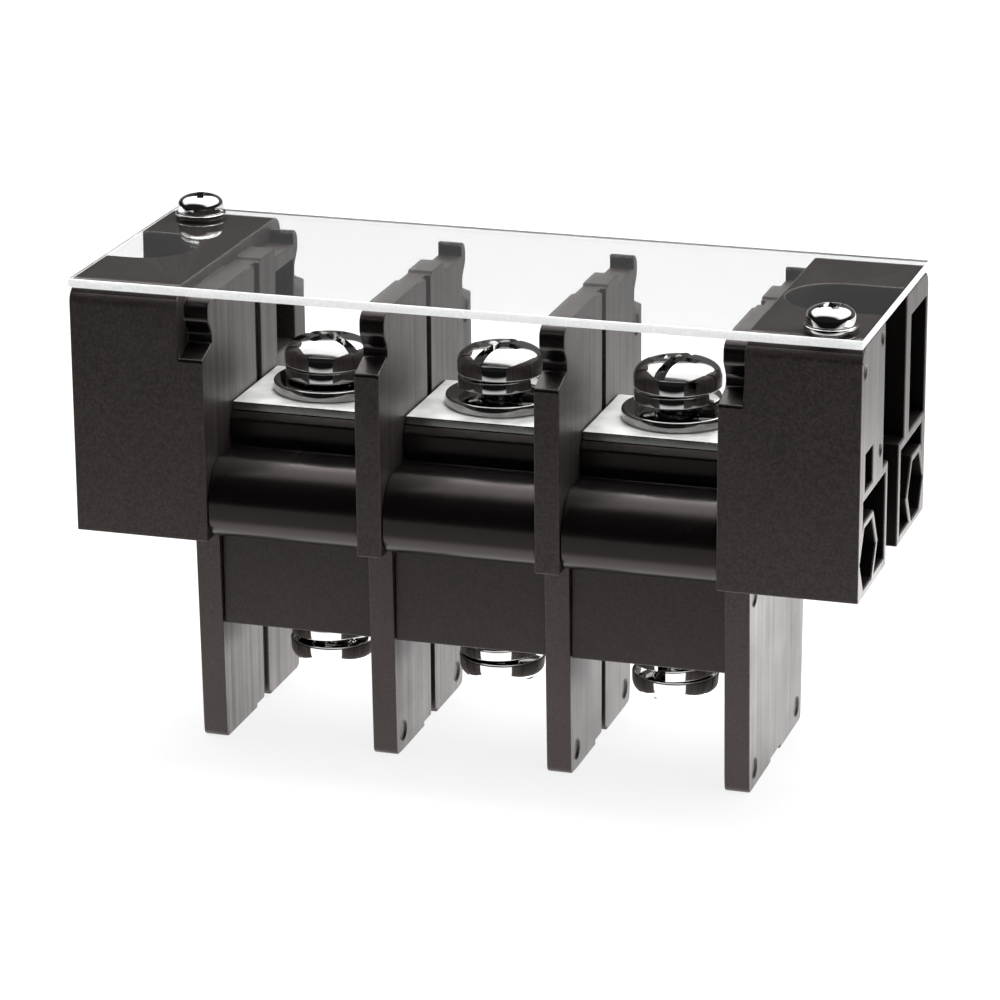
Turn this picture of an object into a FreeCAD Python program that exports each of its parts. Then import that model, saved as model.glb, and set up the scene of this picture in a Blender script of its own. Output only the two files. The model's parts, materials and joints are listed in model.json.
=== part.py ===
import FreeCAD, Part
import math
import os
import Sketcher

# Three-pole panel feed-through terminal strip with a clear cover, modelled in millimetres.
# X runs along the row of poles, Y to the back, Z up. The origin is on the surface that the
# four lower barriers stand on, under the middle of the strip.

POLES = 3
MIN_CUT_VOLUME = 0.001
MATCH = 1e-5
COIL_TURNS = 0.97
COIL_START = -20
ARC_MIDDLE = 1 - math.sqrt(0.5)
SLOT_TURNS = {"upper": (-33, 73, 78), "lower": (20, 75, 130)}
COVER_SCREW_TURNS = {"left": 20, "right": 35}
TIGHT_SCREW = ("upper", 1)

# Driving sizes: alias, value, what it is
SIZES = [
    # The row of poles
    ("pole_pitch", 25.0, "distance between terminal screws"),
    ("barrier_thickness", 3.5, "barrier plates, and the inner walls of the end blocks"),
    ("strip_depth", 41.0, "front to back over the barriers"),
    # Barrier outline, with drops measured from the top edge of its front stretch
    ("barrier_drop", 1.5, "top edge under the cover"),
    ("barrier_rear_step", 1.4, "how much lower the rear stretch of the top edge is"),
    ("rear_step_place", 8.5, "from mid depth to that step"),
    ("top_notch_depth", 0.4, "shallow notch in the middle of the top edge"),
    ("bottom_notch_depth", 0.5, "shallow notch in the middle of the bottom edge"),
    ("middle_notch_width", 5.4, "width of both notches"),
    ("lug_height", 0.45, "lug at each end over the front stretch"),
    ("lug_length", 1.9, "front to back"),
    ("hook_inset", 2.5, "face of the hook behind the barrier front"),
    ("hook_neck_inset", 3.9, "deepest point under the hook"),
    ("hook_face_drop", 2.5, "lower end of the flat hook face"),
    ("hook_neck_drop", 4.5, "deepest point under the hook"),
    ("ledge_inner_drop", 5.9, "inner end of the sloped ledge"),
    ("ledge_outer_drop", 7.4, "outer end of the sloped ledge"),
    ("hook_round", 1.6, "top corner of the hook"),
    ("neck_round", 1.2, "bends of the hook neck"),
    ("ledge_round", 0.5, "edge of the ledge"),
    ("lower_drop", 30.7, "lower barriers under the panel plane"),
    ("lower_inset", 4.5, "lower barrier behind the upper one, at the panel plane"),
    ("lower_lean", 1.1, "extra inset at the bottom edge"),
    ("bottom_round", 1.0, "bottom corners of the lower barriers"),
    ("groove_width", 1.9, "upright groove in the face of each barrier"),
    ("groove_depth", 0.8, "depth of that groove"),
    ("groove_place", 1.2, "behind mid depth"),
    ("dowel_diameter", 2.8, "round sockets in the barrier faces"),
    ("dowel_depth", 0.3, "depth of the sockets"),
    ("dowel_inset", 2.8, "socket centre from the edges"),
    ("upper_dowel_drop", 8.9, "socket in the upper barrier"),
    # End blocks
    ("block_width", 15.6, "outer face to the inner wall"),
    ("block_height", 34.6, "panel plane to the cover"),
    ("block_round", 2.2, "top edges at the front and back"),
    ("channel_width", 13.4, "channel for the mounting screw head"),
    ("channel_floor", 14.6, "floor of the channel over the panel plane"),
    ("channel_depth_left", 10.4, "outer face to the round end, left block"),
    ("channel_depth_right", 15.0, "outer face to the round end, right block"),
    ("slot_width", 7.0, "slot for the mounting screw"),
    ("slot_depth", 9.4, "outer face to the round end of the slot"),
    ("box_wall", 1.3, "walls round the cored boxes"),
    ("box_end_wall", 2.0, "outer walls at the front and back of the lower boxes"),
    ("core_depth", 11.6, "depth of the cored pockets from the outer face"),
    ("core_rim", 2.9, "wall between the channel and the tall pocket"),
    ("core_back_wall", 0.9, "back wall of the tall pocket"),
    ("core_top_wall", 3.6, "wall over the tall pocket"),
    ("relief_width", 4.6, "small pocket beside the cover screw boss"),
    ("relief_height", 5.0, "height of that pocket"),
    ("relief_inset", 3.0, "from the end of the block"),
    ("relief_depth", 7.0, "depth from the outer face"),
    ("window_width", 7.2, "window in the inner wall"),
    ("window_height", 11.0, "height of that window"),
    ("window_top_drop", 5.0, "top of the window under the cover"),
    ("window_inset", 4.5, "window from the end of the block"),
    ("window_depth", 6.0, "depth from the inner face"),
    ("pin_diameter", 1.7, "marks of the ejector pins in the outer face"),
    ("pin_depth", 0.2, "depth of the marks"),
    ("pin_inset", 1.8, "marks from the edges of the outer face"),
    ("pin_drop", 3.5, "upper front mark under the cover"),
    ("pin_level", 17.6, "mark beside the channel over the panel plane"),
    # Tie bolts through the row
    ("tie_height", 5.2, "axis over the panel plane"),
    ("tie_inset", 5.6, "axis behind the barrier front"),
    ("tie_diameter", 5.0, "thread of the tie bolts"),
    ("tie_head_width", 8.0, "across the flats of head and nut"),
    ("tie_head_thickness", 3.5, "bolt head"),
    ("tie_nut_thickness", 4.0, "nut"),
    ("tie_thread_end", 1.2, "bolt past the nut"),
    ("tie_pocket_depth", 10.0, "outer face to the seat of head and nut"),
    ("tie_tube_wall", 1.0, "wall round the hexagonal pocket"),
    # Pole bodies
    ("body_column_inset", 9.7, "upright face of the body behind the barrier front"),
    ("body_top", 15.8, "seat of the upper terminal plate over the panel plane"),
    ("body_drop", 13.6, "seat of the lower terminal plate under the panel plane"),
    ("body_lower_inset", 5.6, "lower face of the body behind the barrier front"),
    ("column_bevel", 1.0, "top edges of the body column"),
    ("nose_inset", 0.4, "nose over the tie bolt behind the barrier front"),
    ("nose_height", 10.9, "top of the nose over the panel plane"),
    ("nose_top_round", 5.6, "upper edge of the nose"),
    ("nose_foot_round", 3.4, "lower edge of the nose"),
    # Conductors
    ("plate_thickness", 1.2, "conductor strip"),
    ("plate_inset", 10.7, "plate edge behind the barrier front"),
    ("web_width", 14.0, "strip where it passes through the body"),
    ("bend_radius", 0.6, "inside radius of the strip bends"),
    # Terminal screws
    ("screw_diameter", 6.0, "thread"),
    ("screw_length", 16.0, "under the head"),
    ("head_diameter", 12.2, "pan head"),
    ("head_height", 3.8, "pan head"),
    ("head_round", 2.4, "top edge of the pan head"),
    ("drive_slot_width", 1.6, "slot across the head"),
    ("drive_slot_depth", 1.5, "slot depth"),
    ("drive_cross_span", 6.6, "cross recess"),
    ("drive_cross_width", 1.8, "arms of the cross recess"),
    ("drive_cross_depth", 2.4, "cross recess depth"),
    ("spring_washer_diameter", 12.0, "outside"),
    ("spring_washer_thickness", 1.6, "thickness of the coiled strip"),
    ("spring_washer_free", 3.0, "height over both ends when the screw is slack"),
    ("spring_washer_pressed", 2.2, "height under the tighter screw"),
    ("plain_washer_diameter", 15.4, "outside"),
    ("plain_washer_thickness", 1.5, "thickness"),
    ("plain_washer_bevel", 0.3, "outer edges"),
    ("clamp_nut_width", 10.0, "square nut under each plate"),
    ("clamp_nut_thickness", 5.0, "thickness"),
    # Cover and its screws
    ("cover_thickness", 1.2, "clear sheet"),
    ("cover_screw_diameter", 4.0, "thread"),
    ("cover_screw_length", 8.0, "under the head"),
    ("cover_head_diameter", 6.6, "pan head"),
    ("cover_head_height", 2.5, "pan head"),
    ("cover_head_round", 1.6, "top edge of that head"),
    ("cover_cross_span", 4.0, "cross recess"),
    ("cover_cross_width", 1.1, "arms of the cross recess"),
    ("cover_cross_depth", 1.5, "cross recess depth"),
    ("cover_washer_diameter", 7.2, "outside"),
    ("cover_washer_thickness", 0.7, "thickness"),
    ("cover_screw_side", 5.3, "screw axis from the outer face"),
    ("cover_screw_end", 4.6, "screw axis from the front or back"),
    ("insert_diameter", 5.6, "threaded insert in the boss"),
    ("insert_length", 8.0, "insert"),
    # Clearances
    ("thread_clearance", 0.05, "radius gap of a screw in its nut or insert"),
    ("washer_clearance", 0.1, "radius gap of a washer on its screw"),
    ("hole_clearance", 0.2, "radius gap of bolts and screws in plain holes"),
    ("pocket_clearance", 0.2, "gap round nuts, heads and strips in their pockets"),
    ("end_clearance", 0.15, "gap at each side of the terminal plates"),
    ("seat_clearance", 0.02, "radius gap of a pressed insert"),
    ("thread_chamfer", 0.6, "point of the screws"),
    ("bore_end_gap", 1.0, "room under the end of a screw or insert"),
]

doc = FreeCAD.newDocument("TerminalStrip")
sheet = doc.addObject("Spreadsheet::Sheet", "Sizes")


class Size:
    """A number together with the sheet expression that gives it."""

    def __init__(self, value, text):
        self.value = value
        self.text = text

    def join(self, other, sign, value):
        return Size(value, f"({self.text} {sign} {other.text})")

    def __add__(self, other):
        other = size_of(other)
        return self.join(other, "+", self.value + other.value)

    def __sub__(self, other):
        other = size_of(other)
        return self.join(other, "-", self.value - other.value)

    def __mul__(self, other):
        other = size_of(other)
        return self.join(other, "*", self.value * other.value)

    def __truediv__(self, other):
        other = size_of(other)
        return self.join(other, "/", self.value / other.value)

    def __neg__(self):
        return size_of(0) - self

    def __radd__(self, other):
        return size_of(other) + self

    def __rsub__(self, other):
        return size_of(other) - self


def size_of(number):
    return number if isinstance(number, Size) else Size(float(number), repr(float(number)))


def fill_sheet():
    """Write the driving sizes and return them by name."""
    sizes = {}
    for row, (alias, value, note) in enumerate(SIZES, 1):
        sheet.set(f"A{row}", alias)
        sheet.set(f"B{row}", str(value))
        sheet.set(f"C{row}", note)
        sheet.setAlias(f"B{row}", alias)
        sizes[alias] = Size(value, f"Sizes.{alias}")
    return sizes


S = fill_sheet()
doc.recompute()

# Sizes that follow from the driving ones
gap_width = S["pole_pitch"] - S["barrier_thickness"]
half_depth = S["strip_depth"] / 2
inner_face = gap_width * POLES / 2 + S["barrier_thickness"] * (POLES - 1) / 2
end_width = S["barrier_thickness"] + S["block_width"]
half_length = inner_face + end_width
panel_level = S["lower_drop"]
cover_level = panel_level + S["block_height"]
barrier_top = S["block_height"] - S["barrier_drop"]
tie_place = half_depth - S["tie_inset"]
tie_bore = S["tie_diameter"] / 2 + S["hole_clearance"]
plate_half = half_depth - S["plate_inset"]
plate_top = S["body_top"] + S["plate_thickness"]
plate_bottom = -(S["body_drop"] + S["plate_thickness"])


def new_body(name):
    body = doc.addObject("PartDesign::Body", name)
    body.Label = name
    return body


def place(body, x, y, z, turn=None):
    """Put the body at x, y, z; turn is an axis and an angle in degrees."""
    if turn:
        rotation = FreeCAD.Rotation(FreeCAD.Vector(*turn[0]), turn[1])
        body.Placement = FreeCAD.Placement(FreeCAD.Vector(), rotation)
    for name, number in (("x", x), ("y", y), ("z", z)):
        body.setExpression(f".Placement.Base.{name}", size_of(number).text)


def new_sketch(body, plane, level):
    """Sketch on the body's own plane, moved along the plane's normal to the level."""
    sketch = body.newObject("Sketcher::SketchObject", f"{body.Name}_sketch")
    support = [item for item in body.Origin.OriginFeatures if item.Role == f"{plane}_Plane"][0]
    sketch.AttachmentSupport = [(support, "")]
    sketch.MapMode = "FlatFace"
    sketch.AttachmentOffset = FreeCAD.Placement(FreeCAD.Vector(0, 0, level.value), FreeCAD.Rotation())
    sketch.setExpression(".AttachmentOffset.Base.z", level.text)
    return sketch


class Drawing:
    """Geometry of one sketch, with the constraints that tie it to the sheet."""

    def __init__(self, sketch):
        self.sketch = sketch
        self.constraints = []
        self.expressions = []

    def hold(self, kind, *elements):
        self.constraints.append(Sketcher.Constraint(kind, *elements))

    def bind(self, kind, elements, size):
        """Hold a coordinate or a radius to a size."""
        size = size_of(size)
        self.expressions.append((len(self.constraints), size.text))
        self.hold(kind, *elements, size.value)

    def locate(self, element, point, x, y):
        self.bind("DistanceX", (element, point), x)
        self.bind("DistanceY", (element, point), y)

    def circle(self, x, y, radius):
        centre = FreeCAD.Vector(size_of(x).value, size_of(y).value, 0)
        ring = self.sketch.addGeometry(Part.Circle(centre, FreeCAD.Vector(0, 0, 1), size_of(radius).value))
        self.locate(ring, 3, x, y)
        self.bind("Radius", (ring,), radius)

    def outline(self, corners):
        """Closed outline of straight sides; what a corner holds past x and y is read by round_corners."""
        points = [FreeCAD.Vector(size_of(c[0]).value, size_of(c[1]).value, 0) for c in corners]
        following = points[1:] + points[:1]
        sides = [self.sketch.addGeometry(Part.LineSegment(*ends)) for ends in zip(points, following)]
        for i, corner in enumerate(corners):
            self.hold("Coincident", sides[i - 1], 2, sides[i], 1)
            self.locate(sides[i], 1, *corner[:2])

    def finish(self):
        self.sketch.addConstraint(self.constraints)
        for index, text in self.expressions:
            self.sketch.setExpression(f"Constraints[{index}]", text)


def rectangle(x_low, x_high, y_low, y_high):
    return [(x_low, y_low), (x_high, y_low), (x_high, y_high), (x_low, y_high)]


def draw(sketch, shapes):
    """Each shape is an outline, or a circle given as (x, y, radius)."""
    drawing = Drawing(sketch)
    for shape in shapes:
        if isinstance(shape, tuple):
            drawing.circle(*shape)
        else:
            drawing.outline(shape)
    drawing.finish()


def extrude(body, kind, plane, start, length, shapes):
    """Pad or Pocket that fills start to start + length along the plane's normal."""
    start, length = size_of(start), size_of(length)
    sketch = new_sketch(body, plane, start)
    draw(sketch, shapes)
    feature = body.newObject(f"PartDesign::{kind}", f"{body.Name}_{kind.lower()}")
    feature.Profile = sketch
    feature.Type = "Length"
    feature.Length = length.value
    feature.setExpression("Length", length.text)
    feature.Reversed = kind == "Pocket"
    return feature


def pad(body, plane, start, length, *shapes):
    feature = extrude(body, "Pad", plane, start, length, shapes)
    corners = [corner for shape in shapes if isinstance(shape, list) for corner in shape]
    round_corners(body, feature, corners, plane)


def cut(body, plane, start, length, *shapes):
    return extrude(body, "Pocket", plane, start, length, shapes)


def revolve(body, corners):
    """Turn an outline of (radius, height) corners about Z."""
    sketch = new_sketch(body, "XZ", size_of(0))
    draw(sketch, [corners])
    feature = body.newObject("PartDesign::Revolution", f"{body.Name}_revolution")
    feature.Profile = sketch
    feature.ReferenceAxis = (sketch, ["V_Axis"])
    feature.Angle = 360


def upright_corner(edge, plane):
    """Where an edge along the plane's normal crosses the plane, or None."""
    axes = {"YZ": "xyz", "XY": "zxy"}[plane]
    first, last = edge.Vertexes[0].Point, edge.Vertexes[-1].Point
    along, across, up = (getattr(last, axis) - getattr(first, axis) for axis in axes)
    if abs(along) < MATCH or abs(across) > MATCH or abs(up) > MATCH:
        return None
    return getattr(first, axes[1]), getattr(first, axes[2])


def round_corners(body, feature, corners, plane):
    """Fillet the edges at the corners (x, y, radius), one feature for each radius."""
    radii = {}
    for corner in corners:
        if len(corner) == 3:
            radii.setdefault(corner[2].text, []).append(corner)
    for text, group in radii.items():
        doc.recompute()
        names = []
        for number, edge in enumerate(feature.Shape.Edges, 1):
            place_of_edge = upright_corner(edge, plane)
            if place_of_edge and any(same_place(place_of_edge, corner) for corner in group):
                names.append(f"Edge{number}")
        fillet = body.newObject("PartDesign::Fillet", f"{body.Name}_fillet")
        fillet.Base = (feature, names)
        fillet.Radius = group[0][2].value
        fillet.setExpression("Radius", text)
        feature = fillet


def same_place(spot, corner):
    return all(abs(a - size_of(b).value) < MATCH for a, b in zip(spot, corner[:2]))


def hexagon(x, y, width):
    """Hexagon with flats at top and bottom, as outline corners."""
    half_flat = width / 2
    side = width / math.sqrt(3)
    return [
        (x - side, y),
        (x - side / 2, y - half_flat),
        (x + side / 2, y - half_flat),
        (x + side, y),
        (x + side / 2, y + half_flat),
        (x - side / 2, y + half_flat),
    ]


def barrier_outline(rear):
    """Upper and lower barrier in one outline, as (y, z) from mid depth and the panel plane.

    rear is 1 or -1, the end where the top edge is lower.
    """
    top = barrier_top
    low_top = top - S["barrier_rear_step"]
    lug_top = top + S["lug_height"]
    notch = S["middle_notch_width"] / 2
    lower_top = half_depth - S["lower_inset"]
    lower_end = lower_top - S["lower_lean"]
    lug_inner = half_depth - S["hook_inset"] - S["lug_length"]

    def end(side, edge_height):
        """One end of the outline, from the top edge down to the foot."""
        face = half_depth - S["hook_inset"]
        neck = half_depth - S["hook_neck_inset"]
        return [
            (lug_inner * side, edge_height),
            (lug_inner * side, lug_top),
            (face * side, lug_top, S["hook_round"]),
            (face * side, top - S["hook_face_drop"], S["neck_round"]),
            (neck * side, top - S["hook_neck_drop"], S["neck_round"]),
            (neck * side, top - S["ledge_inner_drop"], S["ledge_round"]),
            (half_depth * side, top - S["ledge_outer_drop"], S["ledge_round"]),
            (half_depth * side, 0),
            (lower_top * side, 0),
            (lower_end * side, -S["lower_drop"], S["bottom_round"]),
        ]

    front_side = end(-rear, top)
    rear_side = end(rear, low_top)
    step = S["rear_step_place"] * rear
    bottom = -S["lower_drop"] + S["bottom_notch_depth"]
    return (
        front_side[::-1]
        + [
            (-notch * rear, top),
            (-notch * rear, top - S["top_notch_depth"]),
            (notch * rear, top - S["top_notch_depth"]),
            (notch * rear, top),
            (step, top),
            (step, low_top),
        ]
        + rear_side
        + [
            (notch * rear, -S["lower_drop"]),
            (notch * rear, bottom),
            (-notch * rear, bottom),
            (-notch * rear, -S["lower_drop"]),
        ]
    )


def tie_holes():
    return [(tie_place * side, S["tie_height"], tie_bore) for side in (-1, 1)]


def groove_outline(rear):
    middle = S["groove_place"] * rear
    half = S["groove_width"] / 2
    return rectangle(middle - half, middle + half, -S["lower_drop"], barrier_top + S["lug_height"])


def lower_sockets():
    """Round sockets in both lower corners of a barrier face."""
    low = -S["lower_drop"] + S["dowel_inset"]
    reach = half_depth - S["lower_inset"] - S["lower_lean"] - S["dowel_inset"]
    return [(reach * side, low, S["dowel_diameter"] / 2) for side in (-1, 1)]


def upper_sockets():
    """The same sockets just under the panel plane."""
    reach = half_depth - S["lower_inset"] - S["dowel_inset"]
    return [(reach * side, -S["dowel_inset"], S["dowel_diameter"] / 2) for side in (-1, 1)]


def make_partition(name, left_face):
    """Barrier plate between two pole bodies."""
    body = new_body(name)
    pad(body, "YZ", 0, S["barrier_thickness"], barrier_outline(1), *tie_holes())
    cut(body, "YZ", S["barrier_thickness"] - S["groove_depth"], S["groove_depth"], groove_outline(1))
    upper_level = barrier_top - S["upper_dowel_drop"]
    upper_socket = (half_depth - S["dowel_inset"], upper_level, S["dowel_diameter"] / 2)
    socket_floor = S["barrier_thickness"] - S["dowel_depth"]
    cut(body, "YZ", socket_floor, S["dowel_depth"], *lower_sockets(), upper_socket)
    place(body, left_face, 0, panel_level)


def make_end_block(name, side, channel_depth):
    """End block. Its own +X points outward, and it is turned half round for the left end."""
    body = new_body(name)
    wall = S["barrier_thickness"]
    pad(body, "YZ", 0, wall, barrier_outline(side))
    pad(body, "YZ", wall, S["block_width"], [
        (-half_depth, 0),
        (half_depth, 0),
        (half_depth, S["block_height"], S["block_round"]),
        (-half_depth, S["block_height"], S["block_round"]),
    ])
    cut_mounting_channel(body, channel_depth)
    cut_lower_boxes(body)
    cut_upper_pockets(body)
    cut(body, "YZ", 0, end_width - S["tie_pocket_depth"], *tie_holes())
    cut(body, "YZ", 0, S["groove_depth"], groove_outline(side))
    cut(body, "YZ", wall - S["dowel_depth"], S["dowel_depth"], *lower_sockets(), *upper_sockets())
    cut_pin_marks(body)
    cut(body, "XY", S["block_height"] - S["insert_length"] - S["bore_end_gap"],
        S["insert_length"] + S["bore_end_gap"],
        (end_width - S["cover_screw_side"], -half_depth + S["cover_screw_end"], S["insert_diameter"] / 2))
    turn = None if side > 0 else ((0, 0, 1), 180)
    place(body, inner_face * side, 0, panel_level, turn)


def cut_round_ended(body, start, height, depth, width):
    """Upright slot, open at the outer face, with a round inner end."""
    centre = end_width - depth + width / 2
    cut(body, "XY", start, height, rectangle(centre, end_width, -width / 2, width / 2))
    cut(body, "XY", start, height, (centre, 0, width / 2))


def cut_mounting_channel(body, channel_depth):
    """Wide channel for the screw head, and the slot below it for the screw."""
    height = S["block_height"] - S["channel_floor"]
    cut_round_ended(body, S["channel_floor"], height, channel_depth, S["channel_width"])
    cut_round_ended(body, 0, S["channel_floor"], S["slot_depth"], S["slot_width"])


def tube_outline(side):
    """Outside of a hexagonal tube that runs into the end wall of the box."""
    half_flat = S["tie_head_width"] / 2 + S["pocket_clearance"] + S["tie_tube_wall"]
    edge = half_flat * (2 / math.sqrt(3))
    reach = half_depth - S["box_end_wall"] / 2 - tie_place
    rise = (edge - reach) * math.sqrt(3)
    y, z = tie_place, S["tie_height"]
    return [
        ((y - edge) * side, z),
        ((y - edge / 2) * side, z - half_flat),
        ((y + edge / 2) * side, z - half_flat),
        ((y + reach) * side, z - rise),
        ((y + reach) * side, z + rise),
        ((y + edge / 2) * side, z + half_flat),
        ((y - edge / 2) * side, z + half_flat),
    ]


def cut_lower_boxes(body):
    """Cored boxes at the front and back, each with a hexagonal tube for the tie bolt."""
    start = end_width - S["core_depth"]
    inner = S["slot_width"] / 2 + S["box_wall"]
    outer = half_depth - S["box_end_wall"]
    pocket_width = S["tie_head_width"] + S["pocket_clearance"] * 2
    top = S["channel_floor"] - S["box_wall"]
    for side in (-1, 1):
        cut(body, "YZ", start, S["core_depth"], rectangle(inner * side, outer * side, S["box_wall"], top))
    for side in (-1, 1):
        pad(body, "YZ", start, S["core_depth"], tube_outline(side))
    for side in (-1, 1):
        cut(body, "YZ", end_width - S["tie_pocket_depth"], S["tie_pocket_depth"],
            hexagon(tie_place * side, S["tie_height"], pocket_width))


def cut_upper_pockets(body):
    """Tall cored pocket at the back, small relief at the front, window in the inner wall."""
    rim = S["channel_width"] / 2 + S["core_rim"]
    cut(body, "YZ", end_width - S["core_depth"], S["core_depth"], rectangle(
        rim, half_depth - S["core_back_wall"], S["channel_floor"], S["block_height"] - S["core_top_wall"]))
    relief = -half_depth + S["relief_inset"]
    cut(body, "YZ", end_width - S["relief_depth"], S["relief_depth"], rectangle(
        relief, relief + S["relief_width"], S["channel_floor"], S["channel_floor"] + S["relief_height"]))
    window = -half_depth + S["window_inset"]
    window_top = S["block_height"] - S["window_top_drop"]
    cut(body, "YZ", 0, S["window_depth"], rectangle(
        window, window + S["window_width"], window_top - S["window_height"], window_top))


def cut_pin_marks(body):
    """Shallow round marks where pins pushed the moulding out, all in front of the channel."""
    outer = -half_depth + S["pin_inset"]
    inner = -S["channel_width"] / 2 - S["pin_inset"]
    under_cover = S["block_height"] - S["pin_drop"]
    spots = [(outer, under_cover), (inner, under_cover + S["pin_diameter"]), (inner, S["pin_level"])]
    cut(body, "YZ", end_width - S["pin_depth"], S["pin_depth"],
        *[(y, z, S["pin_diameter"] / 2) for y, z in spots])


def make_pole_body(name, middle):
    """Insulating body of one pole, with a rounded nose over each tie bolt."""
    body = new_body(name)
    column = half_depth - S["body_column_inset"]
    shoulder = column - S["column_bevel"]
    lower = half_depth - S["body_lower_inset"]
    nose = half_depth - S["nose_inset"]
    bevel_foot = S["body_top"] - S["column_bevel"]
    middle_level = S["tie_height"]
    pad(body, "YZ", -gap_width / 2, gap_width, [
        (-lower, -S["body_drop"]),
        (lower, -S["body_drop"]),
        (lower, middle_level),
        (column, middle_level),
        (column, bevel_foot),
        (shoulder, S["body_top"]),
        (-shoulder, S["body_top"]),
        (-column, bevel_foot),
        (-column, middle_level),
        (-lower, middle_level),
    ])
    pad(body, "YZ", -gap_width / 2, gap_width, [
        (-nose, 0, S["nose_foot_round"]),
        (nose, 0, S["nose_foot_round"]),
        (nose, S["nose_height"], S["nose_top_round"]),
        (-nose, S["nose_height"], S["nose_top_round"]),
    ])
    cut(body, "YZ", -gap_width / 2, gap_width, *tie_holes())
    height = S["body_top"] + S["body_drop"]
    cut(body, "XY", -S["body_drop"], height, (0, 0, S["screw_diameter"] / 2 + S["hole_clearance"]))
    web_half = S["web_width"] / 2 + S["pocket_clearance"]
    cut(body, "XY", -S["body_drop"], height, rectangle(
        -web_half, web_half, plate_half - S["plate_thickness"] - S["pocket_clearance"],
        plate_half + S["pocket_clearance"]))
    nut_half = S["clamp_nut_width"] / 2 + S["pocket_clearance"]
    nut_pocket = rectangle(-nut_half, nut_half, -nut_half, nut_half)
    depth = S["clamp_nut_thickness"] + S["pocket_clearance"]
    cut(body, "XY", S["body_top"] - depth, depth, nut_pocket)
    cut(body, "XY", -S["body_drop"], depth, nut_pocket)
    place(body, middle, 0, panel_level)


def make_conductor(name, middle):
    """Bent strip: a plate on top, a web through the body and a plate underneath."""
    body = new_body(name)
    width = gap_width - S["end_clearance"] * 2
    web_inner = plate_half - S["plate_thickness"]
    outer_round = S["bend_radius"] + S["plate_thickness"]
    pad(body, "YZ", -S["web_width"] / 2, S["web_width"], [
        (0, plate_bottom),
        (plate_half, plate_bottom, outer_round),
        (plate_half, plate_top, outer_round),
        (0, plate_top),
        (0, plate_top - S["plate_thickness"]),
        (web_inner, plate_top - S["plate_thickness"], S["bend_radius"]),
        (web_inner, plate_bottom + S["plate_thickness"], S["bend_radius"]),
        (0, plate_bottom + S["plate_thickness"]),
    ])
    flat = rectangle(-width / 2, width / 2, -plate_half, plate_half - outer_round)
    hole = (0, 0, S["screw_diameter"] / 2 + S["hole_clearance"])
    for level in (plate_top - S["plate_thickness"], plate_bottom):
        pad(body, "XY", level, S["plate_thickness"], flat)
    cut(body, "XY", plate_bottom, plate_top - plate_bottom, hole)
    place(body, middle, 0, panel_level)


def make_clamp_nut(name, middle, level):
    """Square nut under a terminal plate."""
    body = new_body(name)
    half = S["clamp_nut_width"] / 2
    bore = S["screw_diameter"] / 2 + S["thread_clearance"]
    pad(body, "XY", 0, S["clamp_nut_thickness"], rectangle(-half, half, -half, half), (0, 0, bore))
    place(body, middle, 0, panel_level + level)


def cross(span, width):
    """Outline of a cross recess."""
    long_half, short_half = span / 2, width / 2
    return [
        (short_half, short_half),
        (short_half, long_half),
        (-short_half, long_half),
        (-short_half, short_half),
        (-long_half, short_half),
        (-long_half, -short_half),
        (-short_half, -short_half),
        (-short_half, -long_half),
        (short_half, -long_half),
        (short_half, -short_half),
        (long_half, -short_half),
        (long_half, short_half),
    ]


def make_screw(name, sizes, spot, turn):
    """Pan-head screw with its head seat at its own origin and the head upward.

    Two flats stand for the round of the head, and meet at the middle of its arc.
    """
    body = new_body(name)
    radius = sizes["diameter"] / 2
    head = sizes["head"] / 2
    middle_drop = sizes["round"] * ARC_MIDDLE
    revolve(body, [
        (0, -sizes["length"]),
        (radius - S["thread_chamfer"], -sizes["length"]),
        (radius, -sizes["length"] + S["thread_chamfer"]),
        (radius, 0),
        (head, 0),
        (head, sizes["height"] - sizes["round"]),
        (head - middle_drop, sizes["height"] - middle_drop),
        (head - sizes["round"], sizes["height"]),
        (0, sizes["height"]),
    ])
    cut(body, "XY", sizes["height"] - sizes["cross_depth"], sizes["cross_depth"],
        cross(sizes["cross_span"], sizes["cross_width"]))
    if "slot_width" in sizes:
        half_slot = sizes["slot_width"] / 2
        cut(body, "XY", sizes["height"] - sizes["slot_depth"], sizes["slot_depth"],
            rectangle(-head, head, -half_slot, half_slot))
    place(body, *spot, turn)


def make_washer(name, outside, bore, thickness, spot, turn):
    body = new_body(name)
    pad(body, "XY", 0, thickness, (0, 0, outside / 2), (0, 0, bore))
    place(body, *spot, turn)


def make_plain_washer(name, bore, spot, turn):
    body = new_body(name)
    outside = S["plain_washer_diameter"] / 2
    thickness, bevel = S["plain_washer_thickness"], S["plain_washer_bevel"]
    revolve(body, [
        (bore, 0),
        (outside - bevel, 0),
        (outside, bevel),
        (outside, thickness - bevel),
        (outside - bevel, thickness),
        (bore, thickness),
    ])
    place(body, *spot, turn)


def make_spring_washer(name, bore, height, spot, turn):
    """Strip coiled through nearly one turn about Z."""
    body = new_body(name)
    sketch = new_sketch(body, "XZ", size_of(0))
    draw(sketch, [rectangle(bore, S["spring_washer_diameter"] / 2, 0, S["spring_washer_thickness"])])
    rise = height - S["spring_washer_thickness"]
    coil = body.newObject("PartDesign::AdditiveHelix", f"{body.Name}_coil")
    coil.Profile = sketch
    coil.ReferenceAxis = (sketch, ["V_Axis"])
    coil.Mode = "height-turns-angle"
    coil.Turns = COIL_TURNS
    coil.Height = rise.value
    coil.setExpression("Height", rise.text)
    place(body, *spot, turn)


def terminal_screw_sizes():
    return {
        "diameter": S["screw_diameter"],
        "length": S["screw_length"],
        "head": S["head_diameter"],
        "height": S["head_height"],
        "round": S["head_round"],
        "cross_span": S["drive_cross_span"],
        "cross_width": S["drive_cross_width"],
        "cross_depth": S["drive_cross_depth"],
        "slot_width": S["drive_slot_width"],
        "slot_depth": S["drive_slot_depth"],
    }


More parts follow.
